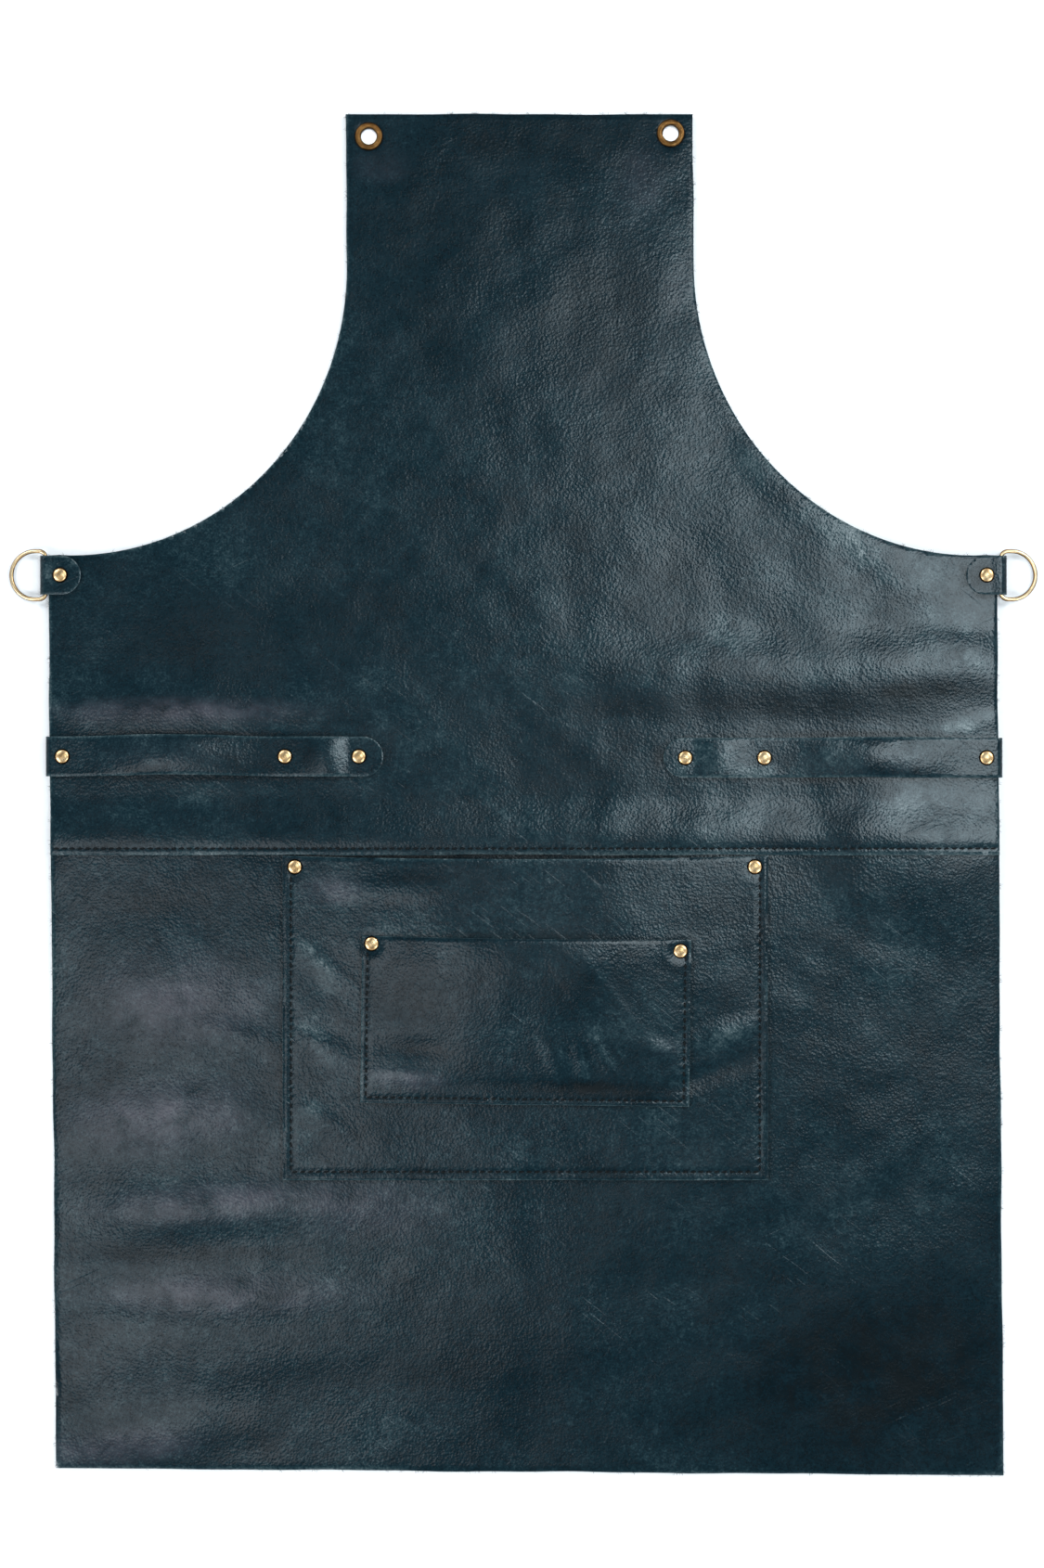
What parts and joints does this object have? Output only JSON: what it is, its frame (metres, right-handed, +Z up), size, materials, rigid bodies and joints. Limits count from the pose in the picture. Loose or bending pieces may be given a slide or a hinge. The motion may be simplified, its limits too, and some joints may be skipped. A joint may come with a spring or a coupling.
{
  "type": "grill apron",
  "caption": "Leather bib apron lying flat, with curved armholes, lapped waist seam, stacked patch pockets, riveted towel straps, side tabs with D-rings and eyelets in the bib.",
  "frame": {"origin": "on the table, below the middle of the apron's box", "axes": "+X to the right seen from the front, +Y from the hem to the bib, +Z up from the table"},
  "size_m": [0.651, 0.862, 0.0153],
  "materials": {
    "leather": "waxed pull-up leather, dark teal, lighter where it is rubbed or bent",
    "antique_brass": "antique brass, satin, darker in the rims"
  },
  "bodies": {
    "apron": {"upper_panel": "leather", "lower_panel": "leather", "large_pocket": "leather", "small_pocket": "leather", "left_towel_strap": "leather", "right_towel_strap": "leather", "left_ring_tab": "leather", "right_ring_tab": "leather", "left_eyelet": "antique_brass", "right_eyelet": "antique_brass", "left_strap_rivet_1": "antique_brass", "left_strap_rivet_2": "antique_brass", "left_strap_rivet_3": "antique_brass", "right_strap_rivet_1": "antique_brass", "right_strap_rivet_2": "antique_brass", "right_strap_rivet_3": "antique_brass", "left_tab_rivet": "antique_brass", "right_tab_rivet": "antique_brass", "large_pocket_left_rivet": "antique_brass", "large_pocket_right_rivet": "antique_brass", "small_pocket_left_rivet": "antique_brass", "small_pocket_right_rivet": "antique_brass"},
    "left_ring": {"left_d_ring": "antique_brass"},
    "right_ring": {"right_d_ring": "antique_brass"}
  },
  "joints": [
    {"name": "left_ring_swing", "type": "hinge", "parent": "apron", "child": "left_ring", "pos_m": [-0.3023, 0.139, 0.0043], "axis": [0, 1, 0], "range_deg": [-92, 107]},
    {"name": "right_ring_swing", "type": "hinge", "parent": "apron", "child": "right_ring", "pos_m": [0.3023, 0.139, 0.0043], "axis": [0, -1, 0], "range_deg": [-92, 107]}
  ]
}
